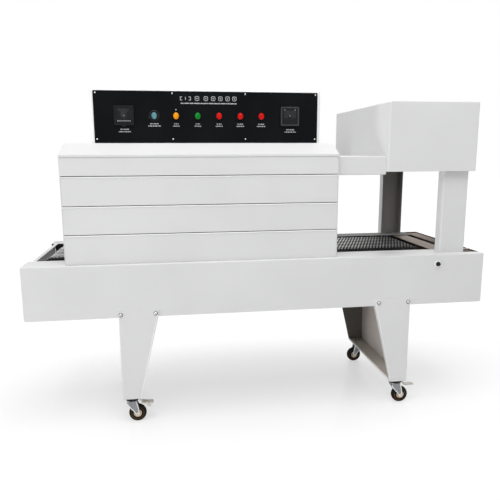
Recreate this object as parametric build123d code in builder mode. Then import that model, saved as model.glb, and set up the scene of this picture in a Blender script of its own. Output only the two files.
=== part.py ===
from build123d import *
import os

os.makedirs("parts", exist_ok=True)

# Overall sizes, in millimetres. X runs along the belt, the operator's side faces -Y, Z is up.
bed_length = 2000.0
bed_width = 690.0
bed_height = 225.0
bed_underside = 478.0

# Sheet metal of the bed: covers beside the belt, lips down at their inner edges, flanges below
sheet = 2.0
bend_radius = 3.0
corner_radius = 9.0
top_leg = 6.0
cover_front_width = 128.0
cover_rear_width = 90.0
cover_lip = 26.0
bottom_flange = 40.0
end_setback = 15.0
end_flange = 18.0

# Outlet end: the covers are notched over a drop slot and a ledge
notch_length = 75.0
notch_radius = 10.0
notch_margin_front = 42.0
notch_margin_rear = 12.0
ledge_depth = 62.0
discharge_gap = 5.0
discharge_length = 84.0
discharge_fold = 12.0

# Rail inside the bed that the rear of the leg frames bolts to
rail_height = 60.0
rail_thickness = 8.0

# Belt and what carries it
belt_start = 40.0
belt_stop = 182.0
belt_gap_front = 68.0
belt_gap_rear = 20.0
belt_drop = 5.0
belt_thickness = 5.0
pan_thickness = 3.0
roller_clearance = 0.1
roller_radius = 32.0
shaft_radius = 10.0
washer_radius = 15.0
washer_thickness = 2.0
head_across_flats = 19.0
head_height = 6.0

# Tunnel
tunnel_start = 171.0
tunnel_length = 1147.0
tunnel_setback = 22.0
tunnel_wall = 58.0
tunnel_height = 444.0
panel_lines = (121.0, 238.0, 358.0)
panel_groove = 3.0
panel_edge_radius = 2.0
top_panel_proud = 2.0
roof_overhang = 4.0
roof_rim = 9.0
bevel_depth = 54.0
bevel_height = 47.0
bevel_end = 17.0
chamber_height = 300.0
ceiling_thickness = 40.0
end_sheet = 3.0

# Control box on the tunnel roof
box_start = 138.0
fascia_length = 923.0
fascia_height = 207.0
fascia_thickness = 3.0
fascia_corner = 4.0
box_margin = 13.0
box_top_margin = 6.0
box_depth = 150.0
box_edge_radius = 8.0
controller_size = 78.0
controller_depth = 8.0
controller_rim = 6.0
controller_recess = 2.0
controller_height = 110.0
controller_left = 119.0
controller_right_margin = 120.0
tab_radius = 9.0
lamp_height = 109.0
lamp_first = 239.5
lamp_pitch = 88.3
bezel_radius = 14.5
first_bezel_radius = 23.0
bezel_depth = 4.0
lens_width = 22.0
lens_height = 27.0
lens_depth = 9.0

# Cooling hood and the two posts that carry it
hood_end_gap = 56.0
hood_length = 409.0
hood_depth = 756.0
hood_setback = 17.0
hood_height = 297.0
hood_lift = 368.0
hood_sheet = 3.0
hood_edge_radius = 5.0
hood_lip = 25.0
fan_rim = 50.0
post_width = 118.0
post_depth = 48.0
post_sheet = 3.0
post_bend = 5.0
post_front_gap = 73.0
post_rear_gap = 92.0
post_front_setback = 44.0
link_height = 80.0
link_depth = 480.0
link_setback = 37.0
link_edge_radius = 4.0

# Leg frames
leg_sheet = 3.0
leg_bend = 5.0
leg_rear_inset = 105.0
leg_top_width = 164.0
leg_foot_width = 78.0
leg_overlap = 28.0
leg_return = 24.0
foot_lip = 9.0
leg_left_gap = 376.0
leg_right_gap = 341.0

# Casters
caster_height = 114.0
caster_inset = 35.0
plate_length = 72.0
plate_width = 60.0
plate_thickness = 3.0
plate_corner = 6.0
wheel_radius = 37.5
wheel_width = 25.0
hub_radius = 22.0
hub_width = 29.0
axle_radius = 5.0
nut_across_flats = 15.0
nut_height = 5.0
caster_trail = 21.0
fork_sheet = 3.0
fork_head_radius = 27.0
fork_neck_radius = 20.0
fork_neck_height = 4.0
fork_head_height = 9.0
fork_end_radius = 9.0
run_clearance = 1.5
pin_clearance = 0.05
swivel_gap = 0.3
pedal_reach = 84.0
pedal_width = 24.0
pedal_sheet = 3.0
pedal_drop = 16.0
pedal_end_radius = 9.0

# Levels and edges worked out from the sizes above
leg_depth = bed_width + leg_sheet - leg_rear_inset
bed_top = bed_underside + bed_height
front_reach = bed_width / 2 + max(leg_sheet, washer_thickness + head_height)
rear_reach = hood_setback + hood_depth - bed_width / 2
bed_y = (front_reach - rear_reach) / 2
front_y = bed_y - bed_width / 2
rear_y = bed_y + bed_width / 2
inner_front = front_y + sheet
inner_rear = rear_y - sheet
lip_front = front_y + cover_front_width
lip_rear = rear_y - cover_rear_width
left_x = -bed_length / 2
right_x = bed_length / 2
inner_left = left_x + end_setback + sheet
inner_right = right_x - sheet
notch_x = right_x - notch_length
belt_front = lip_front + belt_gap_front
belt_rear = lip_rear - belt_gap_rear
belt_width = belt_rear - belt_front
belt_top = bed_top - belt_drop
roller_z = belt_top - belt_thickness - roller_radius - roller_clearance
belt_radius = roller_radius + roller_clearance + belt_thickness
roller_left_x = left_x + belt_start + belt_radius
roller_right_x = right_x - belt_stop - belt_radius
tunnel_left = left_x + tunnel_start
tunnel_right = tunnel_left + tunnel_length
tunnel_front = front_y + tunnel_setback
tunnel_rear = rear_y - tunnel_setback
tunnel_edge = bed_top + tunnel_height
tunnel_top = tunnel_edge + bevel_height
wall_top = tunnel_edge - roof_rim
passage_front = tunnel_front + tunnel_wall
passage_rear = tunnel_rear - tunnel_wall
hood_left = right_x - hood_end_gap - hood_length
hood_front = front_y + hood_setback
hood_bottom = bed_top + hood_lift
leg_front = front_y - leg_sheet
leg_rear = leg_front + leg_depth


def finish(piece, name):
    """Label a finished piece and write it."""
    piece.label = name
    export_step(piece, f"parts/{name}.step")
    return piece


# Bed sides: an upright web whose top edge is bent inwards, with rounded lower corners
def bed_side(outer, inward, name):
    inside = Side.LEFT if inward < 0 else Side.RIGHT
    with BuildPart() as side:
        with BuildSketch(Plane.YZ.offset(left_x)):
            with BuildLine():
                FilletPolyline(
                    (outer, bed_underside),
                    (outer, bed_top),
                    (outer + inward * top_leg, bed_top),
                    radius=bend_radius,
                )
                offset(amount=sheet, side=inside, closed=True)
            make_face()
        extrude(amount=bed_length)
        corners = side.edges().filter_by(Axis.Y).group_by(Axis.Z)[0]
        fillet(corners, radius=corner_radius)
        with BuildSketch(Plane.XZ.offset(-(outer - inward * sheet))):
            with Locations((roller_right_x, roller_z)):
                Circle(shaft_radius + pin_clearance)
        extrude(amount=-inward * 3 * sheet, mode=Mode.SUBTRACT)
    return finish(side.part, name)


bed_side(front_y, 1, "bed_side_front")
bed_side(rear_y, -1, "bed_side_rear")


# Covers: flat beside the belt, lipped down along it and notched at the outlet
def bed_cover(outer, inward, cover, margin, name):
    inside = Side.LEFT if inward < 0 else Side.RIGHT
    with BuildPart() as top_cover:
        with BuildSketch(Plane.YZ.offset(left_x)):
            with BuildLine():
                FilletPolyline(
                    (outer + inward * top_leg, bed_top),
                    (outer + inward * cover, bed_top),
                    (outer + inward * cover, bed_top - cover_lip),
                    radius=bend_radius,
                )
                offset(amount=sheet, side=inside, closed=True)
            make_face()
        extrude(amount=bed_length)
        with BuildSketch(Plane.XY.offset(bed_top)):
            with BuildLine():
                FilletPolyline(
                    (right_x, outer + inward * margin),
                    (notch_x, outer + inward * margin),
                    (notch_x, outer + inward * cover),
                    radius=min(notch_radius, cover - margin),
                )
                Polyline(
                    (notch_x, outer + inward * cover),
                    (right_x, outer + inward * cover),
                    (right_x, outer + inward * margin),
                )
            make_face()
        extrude(amount=-cover_lip, mode=Mode.SUBTRACT)
    return finish(top_cover.part, name)


bed_cover(front_y, 1, cover_front_width, notch_margin_front, "bed_cover_front")
bed_cover(rear_y, -1, cover_rear_width, notch_margin_rear, "bed_cover_rear")

# Flanges welded inside the lower edges of the sides
with BuildPart() as flanges:
    for y, align in ((inner_front, Align.MIN), (inner_rear, Align.MAX)):
        with Locations((inner_left, y, bed_underside)):
            Box(
                inner_right - inner_left,
                bottom_flange,
                sheet,
                align=(Align.MIN, align, Align.MIN),
            )
finish(flanges.part, "bed_bottom_flanges")

# Rear rail: a flat bar on edge in front of the rear plates of the leg frames
with BuildPart() as rail:
    with Locations((inner_left, leg_rear - leg_sheet, bed_underside)):
        Box(inner_right - inner_left, rail_thickness, rail_height, align=(Align.MIN, Align.MAX, Align.MIN))
finish(rail.part, "bed_rail_rear")

# Inlet end plate, folded over at the top, between the cover lips
with BuildPart() as end_left:
    with BuildSketch(Plane.XZ.offset(-lip_front)):
        with BuildLine():
            FilletPolyline(
                (left_x + end_setback, bed_underside),
                (left_x + end_setback, bed_top),
                (left_x + end_setback + end_flange, bed_top),
                radius=bend_radius,
            )
            offset(amount=sheet, side=Side.RIGHT, closed=True)
        make_face()
    extrude(amount=-(lip_rear - lip_front))
finish(end_left.part, "bed_end_left")

# Outlet end plate between the sides, with a ledge at belt level
with BuildPart() as end_right:
    with Locations((right_x, (inner_front + inner_rear) / 2, bed_underside)):
        Box(sheet, inner_rear - inner_front, bed_height, align=(Align.MAX, Align.CENTER, Align.MIN))
    with Locations((inner_right, (inner_front + inner_rear) / 2, belt_top)):
        Box(ledge_depth, inner_rear - inner_front, sheet, align=(Align.MAX, Align.CENTER, Align.MAX))
    for y, align, margin in (
        (inner_front, Align.MIN, notch_margin_front),
        (inner_rear, Align.MAX, notch_margin_rear),
    ):
        with Locations((right_x, y, bed_top)):
            Box(sheet, margin, bend_radius, align=(Align.MAX, align, Align.MAX), mode=Mode.SUBTRACT)
finish(end_right.part, "bed_end_right")

# Belt: one closed loop round the two rollers
with BuildPart() as belt:
    with BuildSketch(Plane.XZ.offset(-belt_front)):
        with Locations(((roller_left_x + roller_right_x) / 2, roller_z)):
            SlotCenterToCenter(roller_right_x - roller_left_x, 2 * belt_radius)
        offset(amount=-belt_thickness, mode=Mode.SUBTRACT)
    extrude(amount=-belt_width)
finish(belt.part, "belt")

# Rollers
with BuildPart() as rollers:
    with BuildSketch(Plane.XZ.offset(-belt_front)):
        with Locations((roller_left_x, roller_z), (roller_right_x, roller_z)):
            Circle(roller_radius)
    extrude(amount=-belt_width)
finish(rollers.part, "belt_rollers")

# Roller journals: the inlet pair ends at the sides, the outlet pair passes through them
with BuildPart() as journals:
    for face, out, stop in ((belt_front, -1, inner_front), (belt_rear, 1, inner_rear)):
        for x, reach in ((roller_left_x, 0.0), (roller_right_x, sheet)):
            with BuildSketch(Plane.XZ.offset(-face)):
                with Locations((x, roller_z)):
                    Circle(shaft_radius)
            extrude(amount=-(stop + out * reach - face))
    with BuildSketch(Plane.XZ.offset(-front_y)):
        with Locations((roller_right_x, roller_z)):
            Circle(washer_radius)
    extrude(amount=washer_thickness)
    with BuildSketch(Plane.XZ.offset(-(front_y - washer_thickness))):
        with Locations((roller_right_x, roller_z)):
            RegularPolygon(head_across_flats / 2, 6, major_radius=False)
    extrude(amount=head_height)
finish(journals.part, "roller_journals")

# Pan that the upper run slides on
with BuildPart() as pan:
    middle_x = (roller_left_x + roller_right_x) / 2
    with Locations((middle_x, (lip_front + lip_rear) / 2, belt_top - belt_thickness)):
        Box(
            roller_right_x - roller_left_x - 2 * roller_radius,
            lip_rear - lip_front,
            pan_thickness,
            align=(Align.CENTER, Align.CENTER, Align.MAX),
        )
finish(pan.part, "belt_pan")

# Discharge plate beyond the belt, folded down at the drop slot
discharge_x = roller_right_x + belt_radius + discharge_gap
with BuildPart() as discharge:
    with BuildSketch(Plane.XZ.offset(-lip_front)):
        with BuildLine():
            FilletPolyline(
                (discharge_x, belt_top),
                (discharge_x + discharge_length, belt_top),
                (discharge_x + discharge_length, belt_top - discharge_fold),
                radius=bend_radius,
            )
            offset(amount=sheet, side=Side.RIGHT, closed=True)
        make_face()
    extrude(amount=-(lip_rear - lip_front))
finish(discharge.part, "discharge_plate")

# Tunnel: front wall in four stacked panels with rounded edges, the top one proud
panel_starts = (0.0,) + tuple(line + panel_groove for line in panel_lines)
panel_stops = panel_lines + (wall_top - bed_top,)
for index, (low, high) in enumerate(zip(panel_starts, panel_stops), start=1):
    proud = top_panel_proud if high == panel_stops[-1] else 0.0
    with BuildPart() as panel:
        with Locations((tunnel_left + end_sheet, tunnel_front - proud, bed_top + low)):
            Box(
                tunnel_length - 2 * end_sheet,
                tunnel_wall + proud,
                high - low,
                align=(Align.MIN, Align.MIN, Align.MIN),
            )
        front_edges = panel.faces().sort_by(Axis.Y)[0].edges()
        fillet(front_edges, radius=panel_edge_radius)
    finish(panel.part, f"tunnel_front_panel_{index}")

with BuildPart() as back:
    with Locations((tunnel_left + end_sheet, tunnel_rear, bed_top)):
        Box(
            tunnel_length - 2 * end_sheet,
            tunnel_wall,
            wall_top - bed_top,
            align=(Align.MIN, Align.MAX, Align.MIN),
        )
finish(back.part, "tunnel_back_wall")

# End frames with the passage cut through them
for x, name in ((tunnel_left, "tunnel_end_left"), (tunnel_right - end_sheet, "tunnel_end_right")):
    with BuildPart() as end:
        with BuildSketch(Plane.YZ.offset(x)):
            with Locations(((tunnel_front + tunnel_rear) / 2, bed_top)):
                Rectangle(tunnel_rear - tunnel_front, wall_top - bed_top, align=(Align.CENTER, Align.MIN))
                Rectangle(
                    passage_rear - passage_front,
                    chamber_height,
                    align=(Align.CENTER, Align.MIN),
                    mode=Mode.SUBTRACT,
                )
        extrude(amount=end_sheet)
    finish(end.part, name)

with BuildPart() as ceiling:
    with Locations((tunnel_left + end_sheet, (passage_front + passage_rear) / 2, bed_top + chamber_height)):
        Box(
            tunnel_length - 2 * end_sheet,
            passage_rear - passage_front,
            ceiling_thickness,
            align=(Align.MIN, Align.CENTER, Align.MIN),
        )
finish(ceiling.part, "chamber_ceiling")

# Roof: a rim that overhangs the walls and a lid that slopes in on all four sides
roof_width = tunnel_rear - tunnel_front + 2 * roof_overhang
with BuildPart() as roof:
    with BuildSketch(Plane.XY.offset(wall_top)):
        with Locations(((tunnel_left + tunnel_right) / 2, (tunnel_front + tunnel_rear) / 2)):
            Rectangle(tunnel_length, roof_width)
    extrude(amount=roof_rim)
    with BuildSketch(Plane.XY.offset(tunnel_edge)):
        with Locations(((tunnel_left + tunnel_right) / 2, (tunnel_front + tunnel_rear) / 2)):
            Rectangle(tunnel_length, roof_width)
    with BuildSketch(Plane.XY.offset(tunnel_top)):
        with Locations(((tunnel_left + tunnel_right) / 2, (tunnel_front + tunnel_rear) / 2)):
            Rectangle(tunnel_length - 2 * bevel_end, roof_width - 2 * bevel_depth)
    loft()
finish(roof.part, "tunnel_roof")

# Control box, with a fascia laid on its front
box_left = tunnel_left + box_start
box_front = tunnel_front - roof_overhang + bevel_depth
with BuildPart() as box:
    with Locations((box_left - box_margin, box_front + fascia_thickness, tunnel_top)):
        Box(
            fascia_length + 2 * box_margin,
            box_depth,
            fascia_height + box_top_margin,
            align=(Align.MIN, Align.MIN, Align.MIN),
        )
    fillet(box.edges().filter_by(Axis.Z), radius=box_edge_radius)
    fillet(box.faces().sort_by(Axis.Z)[-1].edges(), radius=box_edge_radius / 2)
finish(box.part, "control_box")

with BuildPart() as fascia:
    with BuildSketch(Plane.XZ.offset(-box_front)):
        with Locations((box_left + fascia_length / 2, tunnel_top + fascia_height / 2)):
            RectangleRounded(fascia_length, fascia_height, fascia_corner)
    extrude(amount=-fascia_thickness)
finish(fascia.part, "control_fascia")

# Panel instruments: a rim round a sunk face, the left one with a half-round tab at its foot
for start, tabbed, name in (
    (controller_left, True, "controller_left"),
    (fascia_length - controller_right_margin, False, "controller_right"),
):
    x = box_left + start
    z = tunnel_top + controller_height
    with BuildPart() as controller:
        with BuildSketch(Plane.XZ.offset(-box_front)):
            with Locations((x, z)):
                RectangleRounded(controller_size, controller_size, fascia_corner)
        extrude(amount=controller_depth)
        with BuildSketch(Plane.XZ.offset(-(box_front - controller_depth))):
            with Locations((x, z)):
                Rectangle(controller_size - 2 * controller_rim, controller_size - 2 * controller_rim)
        extrude(amount=-controller_recess, mode=Mode.SUBTRACT)
        if tabbed:
            with BuildSketch(Plane.XZ.offset(-box_front)):
                with Locations((x, z - controller_size / 2 + controller_rim / 2)):
                    Circle(tab_radius)
            extrude(amount=controller_depth + controller_recess)
    finish(controller.part, name)

# Pilot lamps: a black bezel each, the first one wide, and a coloured lens on it
lamp_places = [(box_left + lamp_first + lamp_pitch * i, tunnel_top + lamp_height) for i in range(6)]
with BuildPart() as bezels:
    with BuildSketch(Plane.XZ.offset(-box_front)):
        with Locations(lamp_places[0]):
            Circle(first_bezel_radius)
        with Locations(*lamp_places[1:]):
            Circle(bezel_radius)
    extrude(amount=bezel_depth)
finish(bezels.part, "lamp_bezels")

for name, places in (
    ("lamp_clear", lamp_places[:1]),
    ("lamp_amber", lamp_places[1:2]),
    ("lamp_green", lamp_places[2:3]),
    ("lamps_red", lamp_places[3:]),
):
    with BuildPart() as lens:
        with BuildSketch(Plane.XZ.offset(-(box_front - bezel_depth))):
            with Locations(*places):
                Ellipse(lens_width / 2, lens_height / 2)
        extrude(amount=lens_depth)
    finish(lens.part, name)

# Hood: a folded shell, open below
with BuildPart() as hood:
    with Locations((hood_left, hood_front, hood_bottom)):
        Box(hood_length, hood_depth, hood_height, align=(Align.MIN, Align.MIN, Align.MIN))
    hood_top = hood.faces().sort_by(Axis.Z)[-1]
    fillet(hood.edges().filter_by(Axis.Z) + hood_top.edges(), radius=hood_edge_radius)
    offset(amount=-hood_sheet, openings=hood.faces().sort_by(Axis.Z)[0])
finish(hood.part, "hood")

# Hood underside: a plate above the lower edge, with the round opening that the air leaves by
with BuildPart() as underside:
    with BuildSketch(Plane.XY.offset(hood_bottom + hood_lip)):
        with Locations((hood_left + hood_length / 2, hood_front + hood_depth / 2)):
            RectangleRounded(
                hood_length - 2 * hood_sheet,
                hood_depth - 2 * hood_sheet,
                hood_edge_radius - hood_sheet,
            )
            Circle(hood_length / 2 - fan_rim, mode=Mode.SUBTRACT)
    extrude(amount=sheet)
finish(underside.part, "hood_underside")


# Posts: bent channels, the web outside and the open side towards the belt
def post(left, web_y, inward, bottom, name):
    inside = Side.RIGHT if inward > 0 else Side.LEFT
    with BuildPart() as channel:
        with BuildSketch(Plane.XY.offset(bottom)):
            with BuildLine():
                FilletPolyline(
                    (left + post_width, web_y + inward * post_depth),
                    (left + post_width, web_y),
                    (left, web_y),
                    (left, web_y + inward * post_depth),
                    radius=post_bend,
                )
                offset(amount=post_sheet, side=inside, closed=True)
            make_face()
        extrude(amount=hood_bottom + hood_lip - bottom)
    return finish(channel.part, name)


post(right_x - post_front_gap - post_width, front_y + post_front_setback, 1, bed_top, "post_front")
post(right_x - post_rear_gap - post_width, rear_y + post_depth, -1, bed_underside, "post_rear")

# Link band between the tunnel and the hood
with BuildPart() as link:
    with Locations((tunnel_right, front_y + link_setback, wall_top)):
        Box(hood_left - tunnel_right, link_depth, link_height, align=(Align.MIN, Align.MIN, Align.MAX))
    fillet(link.edges().filter_by(Axis.X), radius=link_edge_radius)
finish(link.part, "link_band")


# Leg frames: one sheet bent round three sides, cut to a taper, with a foot plate and folded edges
def leg_frame(edge, inward, name):
    inside = Side.RIGHT if inward > 0 else Side.LEFT
    top = bed_underside + leg_overlap
    top_x = edge + inward * leg_top_width
    foot_x = edge + inward * leg_foot_width
    with BuildPart() as leg:
        with BuildSketch(Plane.XY.offset(caster_height)):
            with BuildLine():
                FilletPolyline(
                    (top_x, leg_front),
                    (edge, leg_front),
                    (edge, leg_rear),
                    (top_x, leg_rear),
                    radius=leg_bend,
                )
                offset(amount=leg_sheet, side=inside, closed=True)
            make_face()
        extrude(amount=top - caster_height)
        with BuildSketch(Plane.XZ.offset(-leg_front)):
            with BuildLine():
                Polyline(
                    (edge, caster_height),
                    (edge, top),
                    (top_x, top),
                    (top_x, bed_underside),
                    (foot_x, caster_height),
                    close=True,
                )
            make_face()
        extrude(amount=-leg_depth, mode=Mode.INTERSECT)
        with Locations((edge - inward * leg_sheet, (leg_front + leg_rear) / 2, bed_underside)):
            Box(
                leg_top_width,
                leg_depth - 2 * leg_sheet,
                leg_overlap,
                align=(Align.MIN if inward > 0 else Align.MAX, Align.CENTER, Align.MIN),
                mode=Mode.SUBTRACT,
            )
        # Foot plate with its inboard edge turned up
        with BuildSketch(Plane.XZ.offset(-(leg_front + leg_sheet))):
            with BuildLine():
                Polyline(
                    (edge + inward * leg_sheet, caster_height),
                    (foot_x, caster_height),
                    (foot_x, caster_height + foot_lip),
                    (foot_x - inward * leg_sheet, caster_height + foot_lip),
                    (foot_x - inward * leg_sheet, caster_height + leg_sheet),
                    (edge + inward * leg_sheet, caster_height + leg_sheet),
                    close=True,
                )
            make_face()
        extrude(amount=-(leg_depth - 2 * leg_sheet))
        # Return flange behind the sloping edge of the front plate
        with BuildSketch(Plane.XZ.offset(-(leg_front + leg_sheet))):
            with BuildLine():
                Polyline(
                    (foot_x, caster_height + foot_lip),
                    (top_x, bed_underside),
                    (top_x - inward * leg_sheet, bed_underside),
                    (foot_x - inward * leg_sheet, caster_height + foot_lip),
                    close=True,
                )
            make_face()
        extrude(amount=-(leg_return - leg_sheet))
    return finish(leg.part, name)


leg_left_edge = left_x + leg_left_gap
leg_right_edge = right_x - leg_right_gap
leg_frame(leg_left_edge, 1, "leg_left")
leg_frame(leg_right_edge, -1, "leg_right")

# Casters: swivel axis under each end of the foot plates, the front ones trailing to the outlet
left_foot_x = leg_left_edge + leg_foot_width / 2
right_foot_x = leg_right_edge - leg_foot_width / 2
casters = {
    "front_left": (left_foot_x, leg_front + caster_inset, 1),
    "front_right": (right_foot_x, leg_front + caster_inset, 1),
    "rear_left": (left_foot_x, leg_rear - caster_inset, -1),
    "rear_right": (right_foot_x, leg_rear - caster_inset, -1),
}
with BuildPart() as plates:
    with BuildSketch(Plane.XY.offset(caster_height)):
        with Locations(*[(x, y) for x, y, _ in casters.values()]):
            RectangleRounded(plate_length, plate_width, plate_corner)
    extrude(amount=-plate_thickness)
finish(plates.part, "caster_plates")

head_top = caster_height - plate_thickness - swivel_gap
crown_top = head_top - fork_neck_height
crown_bottom = crown_top - fork_head_height
cheek_inner = hub_width / 2 + run_clearance


def fork(x, y, side, name):
    """Swivel head, two raked cheeks and the axle bolt with its nuts."""
    wheel_x = x + side * caster_trail
    with BuildPart() as body:
        with BuildSketch(Plane.XY.offset(head_top)):
            with Locations((x, y)):
                Circle(fork_neck_radius)
        extrude(amount=-fork_neck_height)
        with BuildSketch(Plane.XY.offset(crown_top)):
            with Locations((x, y)):
                Circle(fork_head_radius)
        extrude(amount=-fork_head_height)
        for cheek in (cheek_inner, -cheek_inner - fork_sheet):
            with BuildSketch(Plane.XZ.offset(-(y + cheek))):
                with BuildLine():
                    crown_edge = Line(
                        (x - side * fork_neck_radius, crown_bottom),
                        (x + side * fork_neck_radius, crown_bottom),
                    )
                    fore = Line(crown_edge @ 1, (wheel_x + side * fork_end_radius, wheel_radius))
                    tip = ThreePointArc(
                        fore @ 1,
                        (wheel_x, wheel_radius - fork_end_radius),
                        (wheel_x - side * fork_end_radius, wheel_radius),
                    )
                    Line(tip @ 1, crown_edge @ 0)
                make_face()
            extrude(amount=-fork_sheet)
        with BuildSketch(Plane.XZ.offset(-(y - cheek_inner))):
            with Locations((wheel_x, wheel_radius)):
                Circle(axle_radius)
        extrude(amount=-2 * cheek_inner)
        for nut in (-cheek_inner - fork_sheet - nut_height, cheek_inner + fork_sheet):
            with BuildSketch(Plane.XZ.offset(-(y + nut))):
                with Locations((wheel_x, wheel_radius)):
                    RegularPolygon(nut_across_flats / 2, 6, major_radius=False)
            extrude(amount=-nut_height)
    return finish(body.part, name)


def ring(x, y, outer, inner, width, name):
    """A ring on the wheel axis, for a tyre or a hub."""
    with BuildPart() as body:
        with BuildSketch(Plane.XZ.offset(-(y - width / 2))):
            with Locations((x, wheel_radius)):
                Circle(outer)
                Circle(inner, mode=Mode.SUBTRACT)
        extrude(amount=-width)
    return finish(body.part, name)


def pedal(x, y, side, name):
    """Brake lever: a bent strip from the fork head out past the tyre, with a rounded end."""
    root = x + side * (fork_head_radius - pedal_sheet)
    tip = x + side * (pedal_reach + caster_trail)
    with BuildPart() as lever:
        with BuildSketch(Plane.XZ.offset(-(y - pedal_width / 2))):
            with BuildLine():
                FilletPolyline(
                    (root, crown_top + pedal_sheet),
                    (x + side * (wheel_radius + caster_trail), crown_top + pedal_sheet),
                    (tip, crown_top - pedal_drop),
                    radius=wheel_width,
                )
                offset(amount=pedal_sheet, side=Side.RIGHT if side > 0 else Side.LEFT, closed=True)
            make_face()
        extrude(amount=-pedal_width)
        tip_edges = lever.edges().filter_by(Axis.Y, reverse=True).group_by(Axis.X)[-1 if side > 0 else 0]
        fillet(tip_edges, radius=min(pedal_end_radius, pedal_width / 2 - pin_clearance))
        with BuildSketch(Plane.XY.offset(head_top)):
            with Locations((x, y)):
                Circle(fork_neck_radius + pin_clearance)
        extrude(amount=-(head_top - crown_top), mode=Mode.SUBTRACT)
    return finish(lever.part, name)


for corner, (x, y, side) in casters.items():
    wheel_x = x + side * caster_trail
    fork(x, y, side, f"caster_{corner}_fork")
    ring(wheel_x, y, wheel_radius, hub_radius + pin_clearance, wheel_width, f"caster_{corner}_tyre")
    ring(wheel_x, y, hub_radius, axle_radius + pin_clearance, hub_width, f"caster_{corner}_hub")
    if corner.startswith("front"):
        pedal(x, y, side, f"caster_{corner}_pedal")
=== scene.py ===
# %% [markdown]
# # A shrink wrapping machine, dressed on its CAD frame
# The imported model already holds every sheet, post and wheel at its real place. This notebook gives
# them their finishes, swaps a few plain solids for finely made ones, and sets up a small studio.

# %% Load the frame and keep its size
import math

import bmesh
import bpy
from mathutils import Euler, Matrix, Vector


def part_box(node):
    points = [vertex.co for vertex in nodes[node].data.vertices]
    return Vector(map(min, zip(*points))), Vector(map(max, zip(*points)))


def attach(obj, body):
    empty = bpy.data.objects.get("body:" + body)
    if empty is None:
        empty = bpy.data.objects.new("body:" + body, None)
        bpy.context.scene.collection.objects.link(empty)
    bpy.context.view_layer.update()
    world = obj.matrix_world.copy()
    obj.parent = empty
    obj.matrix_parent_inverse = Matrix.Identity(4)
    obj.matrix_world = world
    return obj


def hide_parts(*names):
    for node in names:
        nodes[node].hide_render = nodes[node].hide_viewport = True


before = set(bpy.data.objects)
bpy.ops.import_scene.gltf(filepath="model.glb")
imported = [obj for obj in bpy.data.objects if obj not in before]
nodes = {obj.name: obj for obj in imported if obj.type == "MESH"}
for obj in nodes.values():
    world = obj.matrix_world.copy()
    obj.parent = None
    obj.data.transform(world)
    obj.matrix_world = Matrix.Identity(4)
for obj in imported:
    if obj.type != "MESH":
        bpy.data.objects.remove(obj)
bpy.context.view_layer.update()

MM = 0.001
print("CAD nodes:", len(nodes))


# %% [markdown]
# ## Camera
# The photograph was taken from a little left of the machine's middle, slightly above the lamps. A
# camera is only a place, three turns and a lens, so it is written straight from the measured view.

# %% Camera at the photograph's place
camera_place = Vector((-0.3954, -2.5885, 1.1505))
camera_turn = Euler((math.radians(79.8), 0.0, math.radians(-8.4)))
camera_roll = Matrix.Rotation(math.radians(-0.2), 3, "Z")

camera_data = bpy.data.cameras.new("photograph view")
camera_data.sensor_width = 36.0
camera_data.lens = 38.6
camera = bpy.data.objects.new("photograph view", camera_data)
camera.matrix_world = Matrix.Translation(camera_place) @ (camera_turn.to_matrix() @ camera_roll).to_4x4()
bpy.context.scene.collection.objects.link(camera)
bpy.context.scene.camera = camera
print("lens", camera_data.lens, "mm at", tuple(camera_place))


# %% [markdown]
# ## Studio
# A white machine on white needs light that comes from all round, a bit more of it from above, so that
# fronts turn soft grey and tops stay bright. The world gives the even part and three wide lamps the
# rest: one above, one behind, and a low one from the left that looks into the legs.
# The world shows plain white to the camera and in reflections, while it lights at a lower strength.

# %% World light with a white background
world = bpy.data.worlds.new("studio")
bpy.context.scene.world = world
world.use_nodes = True
tree = world.node_tree
tree.nodes.clear()
rays = tree.nodes.new("ShaderNodeLightPath")
seen = tree.nodes.new("ShaderNodeMath")
seen.operation = "MAXIMUM"
seen_or_through = tree.nodes.new("ShaderNodeMath")
seen_or_through.operation = "MAXIMUM"
light = tree.nodes.new("ShaderNodeBackground")
light.inputs["Color"].default_value = (0.99, 0.995, 1.0, 1.0)
light.inputs["Strength"].default_value = 0.53
shown = tree.nodes.new("ShaderNodeBackground")
shown.inputs["Color"].default_value = (1.0, 1.0, 1.0, 1.0)
shown.inputs["Strength"].default_value = 1.0
choose = tree.nodes.new("ShaderNodeMixShader")
out = tree.nodes.new("ShaderNodeOutputWorld")
tree.links.new(rays.outputs["Is Camera Ray"], seen.inputs[0])
tree.links.new(rays.outputs["Is Glossy Ray"], seen.inputs[1])
tree.links.new(seen.outputs[0], seen_or_through.inputs[0])
tree.links.new(rays.outputs["Is Transmission Ray"], seen_or_through.inputs[1])
tree.links.new(seen_or_through.outputs[0], choose.inputs[0])
tree.links.new(light.outputs[0], choose.inputs[1])
tree.links.new(shown.outputs[0], choose.inputs[2])
tree.links.new(choose.outputs[0], out.inputs[0])
bpy.context.scene.view_settings.view_transform = "Standard"
print("world strength", light.inputs["Strength"].default_value)


# %% Three wide lamps
def wide_lamp(name, place, aim, size, power):
    """A square soft lamp that looks at a point of the machine."""
    data = bpy.data.lights.new(name, "AREA")
    data.shape = "SQUARE"
    data.size = size
    data.energy = power
    lamp = bpy.data.objects.new(name, data)
    lamp.location = place
    lamp.rotation_euler = (Vector(aim) - Vector(place)).to_track_quat("-Z", "Y").to_euler()
    bpy.context.scene.collection.objects.link(lamp)
    print(name + ":", power, "W from a square of", size, "m")


wide_lamp("top lamp", (-0.25, -1.7, 4.3), (0.0, -0.2, 0.8), 3.0, 108.0)
wide_lamp("side lamp", (-4.2, -1.6, 0.5), (0.4, -0.2, 0.4), 1.2, 44.0)
wide_lamp("rear lamp", (0.8, 2.6, 3.6), (0.0, 0.2, 0.7), 2.4, 40.0)


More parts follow.
